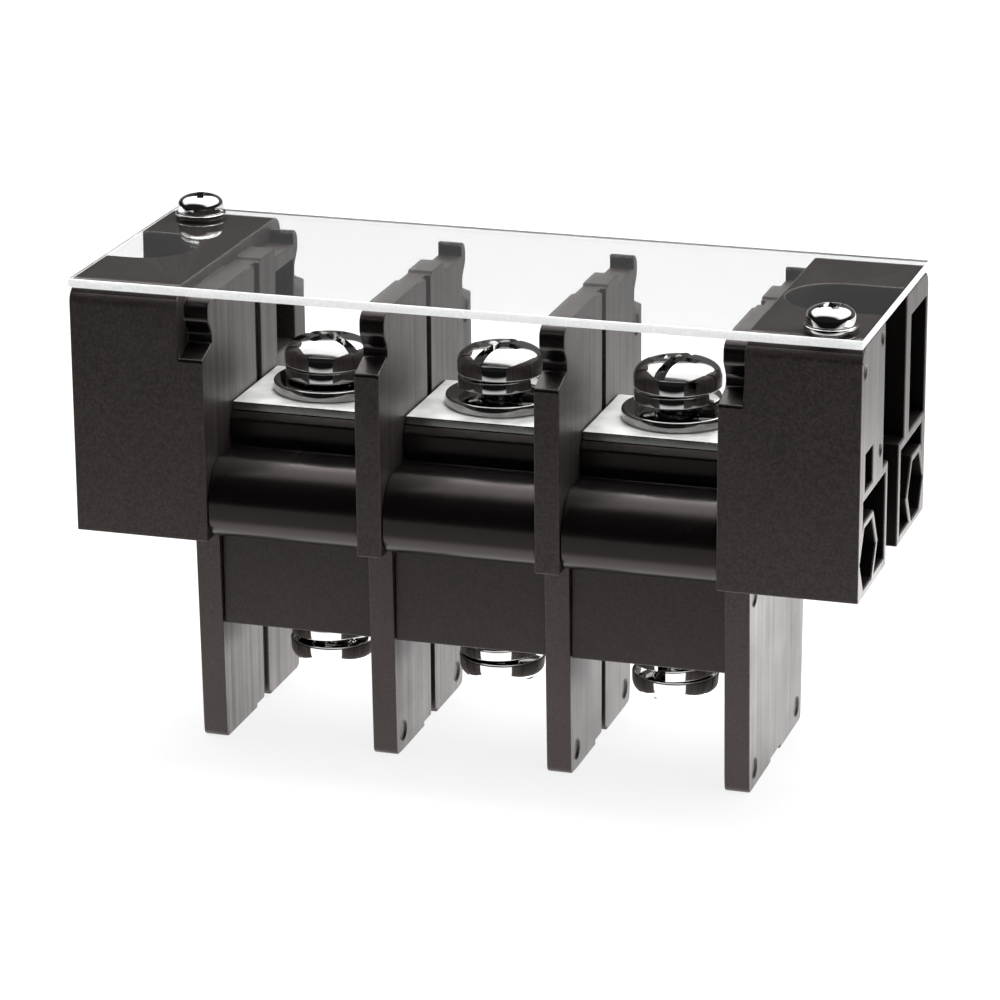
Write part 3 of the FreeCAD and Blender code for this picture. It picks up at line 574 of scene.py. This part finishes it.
def makeRing(name, s):
    # the section carried round Z; with turns below 1 it climbs and its ends stay open
    radius, height = ringSection(s)
    turns = s.get("turns", 1.0)
    joined = turns == 1.0
    turn = np.linspace(0, 2 * math.pi * turns, ringSteps + 1)[: ringSteps if joined else None]
    climb = (s.get("height", s["thickness"]) - s["thickness"]) * turn / (2 * math.pi * turns)
    loops = np.stack([
        np.cos(turn)[:, None] * radius,
        np.sin(turn)[:, None] * radius,
        height + climb[:, None],
    ], axis=-1)
    ring = loftMesh(name, loops, joined)
    creaseSmooth(ring, angle=50)
    return ring


slotTurns = {"upper": (-33, 73, 78), "lower": (20, 75, 130)}  # degrees, pole by pole
plateFace = {"upper": 17.0 * mm, "lower": -14.8 * mm}  # from the panel's face


def terminalPlace(kind, pole, lift, upperTurn):
    # a place on the screw's axis over the plate's face, head down for the lower ones
    side = 1 if kind == "upper" else -1
    if kind == "upper":
        turn = Matrix.Rotation(math.radians(upperTurn), 4, "Z")
    else:
        angle = math.radians(slotTurns[kind][pole - 1])
        turn = Matrix.Rotation(math.pi, 4, Vector((math.cos(angle), math.sin(angle), 0)))
    spot = Vector((pitch * (pole - 2), 0, panel + plateFace[kind] + lift * side))
    return Matrix.Translation(spot) @ turn


def makeTerminals():
    # the first upper screw sits tighter than the others and presses its spring washer further
    screw = makeScrewShape("screwShape", terminalScrew)
    plain = makeRing("plainShape", plainWasher)
    free = makeRing("freeSpringShape", {**springWasher, "height": springHeight})
    pressed = makeRing("pressedSpringShape", {**springWasher, "height": pressedHeight})
    for kind in kinds:
        for pole in poles:
            tight = (kind, pole) == ("upper", 1)
            spring, height = (pressed, pressedHeight) if tight else (free, springHeight)
            seat = plainWasher["thickness"]
            for shape, stem, lift, upperTurn in (
                (plain, "plain_washer", 0, 0),
                (spring, "spring_washer", seat, springStart),
                (screw, "terminal_screw", seat + height, slotTurns["upper"][pole - 1]),
            ):
                node = f"{stem}_{kind}_{pole}"
                place = terminalPlace(kind, pole, lift, upperTurn)
                fitOut(placedCopy(shape, f"{node}_shape", place), node, "bright_nickel")
    for shape in (screw, plain, free, pressed):
        bpy.data.objects.remove(shape)
    print("terminal screws and washers made")


cover = dict(top=panel + 35.8 * mm, screwX=49.55 * mm, screwY=15.9 * mm, turns={"left": 20, "right": 35})


def makeCoverScrews():
    # one screw on its washer at two opposite corners of the sheet
    screw = makeScrewShape("coverScrewShape", coverScrew)
    washer = makeRing("coverWasherShape", coverWasher)
    for side, way in (("left", -1), ("right", 1)):
        spot = Vector((cover["screwX"] * way, -cover["screwY"] * way, cover["top"]))
        turn = Matrix.Rotation(math.radians(cover["turns"][side]), 4, "Z")
        raised = Matrix.Translation(spot + Vector((0, 0, coverWasher["thickness"]))) @ turn
        low = Matrix.Translation(spot)
        for shape, stem, place in ((washer, "cover_washer", low), (screw, "cover_screw", raised)):
            node = f"{stem}_{side}"
            fitOut(placedCopy(shape, f"{node}_shape", place), node, "bright_nickel")
    for shape in (screw, washer):
        bpy.data.objects.remove(shape)
    print("cover screws made")


makeTerminals()
makeCoverScrews()

# the plain CAD pieces take their slot's material too
for node, slot in ((n["node"], n["material_slot"]) for n in frame["record"]["subparts"]):
    cad = frame["nodes"][node]
    cad.data.materials.clear()
    cad.data.materials.append(materials[slot])


# stage
floor = dict(
    half=6.0, colour=(0.92, 0.92, 0.92), glow=1.12, glowShare=0.75, throughGain=1.2,
    mirrorNear=1.8, mirrorFar=0.42, mirrorFront=0.01, mirrorMiddle=1.33, mirrorBack=0.45,
    nearFade=(-0.05, -0.085), frontFade=(-0.11, -0.165), middleFade=(-0.02, 0.01), backFade=(0.08, 0.16),
    mirrorRight=(2.9, 0.2), rightFade=(0.042, 0.054), slant=0.311,
)


def smoothRange(nodes, links, socket, start, end, low, high):
    # a smooth step from low at start to high at end
    fade = nodes.new("ShaderNodeMapRange")
    fade.interpolation_type = "SMOOTHSTEP"
    fade.inputs["From Min"].default_value = start
    fade.inputs["From Max"].default_value = end
    fade.inputs["To Min"].default_value = low
    fade.inputs["To Max"].default_value = high
    links.new(socket, fade.inputs["Value"])
    return fade.outputs["Result"]


def combined(nodes, links, operation, first, second):
    # two sockets, or a socket and a number, through one arithmetic node
    step = nodes.new("ShaderNodeMath")
    step.operation = operation
    links.new(first, step.inputs[0])
    if isinstance(second, float):
        step.inputs[1].default_value = second
    else:
        links.new(second, step.inputs[1])
    return step.outputs[0]


def product(nodes, links, first, *others):
    # a socket times other sockets or numbers
    for other in others:
        first = combined(nodes, links, "MULTIPLY", first, other)
    return first


def makeFloor():
    # to the camera the floor is mostly a white glow, so that shadows stay faint; in reflections it is
    # light round the object, brighter behind it and dark far in front
    half = floor["half"]
    corners = [(-half, -half, 0), (half, -half, 0), (half, half, 0), (-half, half, 0)]
    mesh = bpy.data.meshes.new("floor")
    mesh.from_pydata(corners, [], [(0, 1, 2, 3)])
    ground = bpy.data.objects.new("floor", mesh)
    scene.collection.objects.link(ground)
    material = bpy.data.materials.new("floor")
    material.use_nodes = True
    nodes, links = material.node_tree.nodes, material.node_tree.links
    nodes.clear()
    matt = nodes.new("ShaderNodeBsdfDiffuse")
    matt.inputs["Color"].default_value = (*floor["colour"], 1)
    glow = nodes.new("ShaderNodeEmission")
    path = nodes.new("ShaderNodeLightPath")
    through = path.outputs["Is Transmission Ray"]
    gain = smoothRange(nodes, links, through, 0.0, 1.0, floor["glow"], floor["glow"] * floor["throughGain"])
    links.new(gain, glow.inputs["Strength"])
    seen = combined(nodes, links, "MAXIMUM", path.outputs["Is Camera Ray"], through)
    mix = nodes.new("ShaderNodeMixShader")
    out = nodes.new("ShaderNodeOutputMaterial")
    links.new(product(nodes, links, seen, floor["glowShare"]), mix.inputs[0])
    links.new(matt.outputs[0], mix.inputs[1])
    links.new(glow.outputs[0], mix.inputs[2])
    place = nodes.new("ShaderNodeTexCoord")
    parts = nodes.new("ShaderNodeSeparateXYZ")
    links.new(place.outputs["Object"], parts.inputs[0])
    depth = parts.outputs["Y"]
    near, far = floor["mirrorNear"], floor["mirrorNear"] * floor["mirrorFar"]
    base = product(
        nodes, links,
        smoothRange(nodes, links, depth, *floor["nearFade"], near, far),
        smoothRange(nodes, links, depth, *floor["frontFade"], 1.0, floor["mirrorFront"]),
        smoothRange(nodes, links, depth, *floor["middleFade"], 1.0, floor["mirrorMiddle"]),
        smoothRange(nodes, links, depth, *floor["backFade"], 1.0, floor["mirrorBack"]),
    )
    slanted = product(nodes, links, depth, -floor["slant"])
    across = combined(nodes, links, "ADD", parts.outputs["X"], slanted)
    extra = product(
        nodes, links,
        smoothRange(nodes, links, depth, *floor["middleFade"], 0.0, 1.0),
        smoothRange(nodes, links, across, *floor["rightFade"], 0.0, 1.0),
        smoothRange(nodes, links, depth, *floor["backFade"], *floor["mirrorRight"]),
    )
    mirrored = nodes.new("ShaderNodeEmission")
    links.new(combined(nodes, links, "ADD", base, extra), mirrored.inputs["Strength"])
    choice = nodes.new("ShaderNodeMixShader")
    direct = smoothRange(nodes, links, through, 0.0, 1.0, 1.0, 0.0)
    links.new(product(nodes, links, path.outputs["Is Glossy Ray"], direct), choice.inputs[0])
    links.new(mix.outputs[0], choice.inputs[1])
    links.new(mirrored.outputs[0], choice.inputs[2])
    links.new(choice.outputs[0], out.inputs["Surface"])
    mesh.materials.append(material)


studio = dict(
    dark=0.02, darkBack=0.15, bright=1.9, horizon=(0.42, 0.58), seenBelow=(0.06, 0.0),
    front=(-0.18, -0.965, 0.19), frontFade=(0.62, 0.30), backGain=3.4, backFrom=(0.3, 0.8),
)


def makeWorld():
    # one wide soft light over a dark room: it ends above the horizon all round and higher up in front;
    # the camera, and what it sees through the sheet below the light, gets white
    world = bpy.data.worlds.new("studio")
    scene.world = world
    world.use_nodes = True
    nodes, links = world.node_tree.nodes, world.node_tree.links
    nodes.clear()
    place = nodes.new("ShaderNodeTexCoord")
    parts = nodes.new("ShaderNodeSeparateXYZ")
    links.new(place.outputs["Generated"], parts.inputs[0])
    along = nodes.new("ShaderNodeVectorMath")
    along.operation = "DOT_PRODUCT"
    along.inputs[1].default_value = studio["front"]
    links.new(place.outputs["Generated"], along.inputs[0])
    depth, rise = parts.outputs["Y"], parts.outputs["Z"]
    front, back = studio["bright"], studio["bright"] * studio["backGain"]
    lit = product(
        nodes, links,
        smoothRange(nodes, links, rise, *studio["horizon"], 0.0, 1.0),
        smoothRange(nodes, links, along.outputs["Value"], *studio["frontFade"], 0.0, 1.0),
        smoothRange(nodes, links, depth, *studio["backFrom"], front, back),
    )
    unlit = smoothRange(nodes, links, depth, *studio["backFrom"], studio["dark"], studio["darkBack"])
    light = combined(nodes, links, "ADD", lit, unlit)
    path = nodes.new("ShaderNodeLightPath")
    low = smoothRange(nodes, links, rise, *studio["seenBelow"], 0.0, 1.0)
    through = product(nodes, links, path.outputs["Is Transmission Ray"], low)
    mix = nodes.new("ShaderNodeMix")
    links.new(combined(nodes, links, "MAXIMUM", path.outputs["Is Camera Ray"], through), mix.inputs["Factor"])
    links.new(light, mix.inputs["A"])
    mix.inputs["B"].default_value = 1.0
    sky = nodes.new("ShaderNodeBackground")
    out = nodes.new("ShaderNodeOutputWorld")
    links.new(mix.outputs["Result"], sky.inputs["Strength"])
    links.new(sky.outputs[0], out.inputs["Surface"])


overhead = dict(place=(0.0, 0.16, 0.62), aim=(0, 0, 0.03), size=(0.7, 0.25), power=4.0)


def makeLamp(name, s):
    lamp = bpy.data.lights.new(name, "AREA")
    lamp.shape = "RECTANGLE"
    lamp.size, lamp.size_y = s["size"]
    lamp.energy = s["power"]
    holder = bpy.data.objects.new(name, lamp)
    holder.location = s["place"]
    holder.rotation_euler = (Vector(s["aim"]) - Vector(s["place"])).to_track_quat("-Z", "Y").to_euler()
    holder.visible_camera = False
    holder.visible_transmission = False
    scene.collection.objects.link(holder)


view = dict(
    aim=(-0.34 * mm, 0.06 * mm, 33.48 * mm),
    distance=599.6 * mm,
    azimuth=17.32,
    elevation=18.36,
    roll=-0.376,
    lens=156.29,
)


def makeCamera():
    # at the photograph's viewing angle, from the plain angles above
    a, e = math.radians(view["azimuth"]), math.radians(view["elevation"])
    back = Vector((math.sin(a) * math.cos(e), -math.cos(a) * math.cos(e), math.sin(e)))
    data = bpy.data.cameras.new("camera")
    data.sensor_width = 36
    data.lens = view["lens"]
    data.clip_start, data.clip_end = 0.01, 20
    holder = bpy.data.objects.new("camera", data)
    turn = (-back).to_track_quat("-Z", "Y").to_matrix() @ Matrix.Rotation(math.radians(view["roll"]), 3, "Z")
    holder.matrix_world = Matrix.Translation(Vector(view["aim"]) + back * view["distance"]) @ turn.to_4x4()
    scene.collection.objects.link(holder)
    scene.camera = holder


makeFloor()
makeWorld()
makeLamp("overhead", overhead)
makeCamera()
print("stage made")
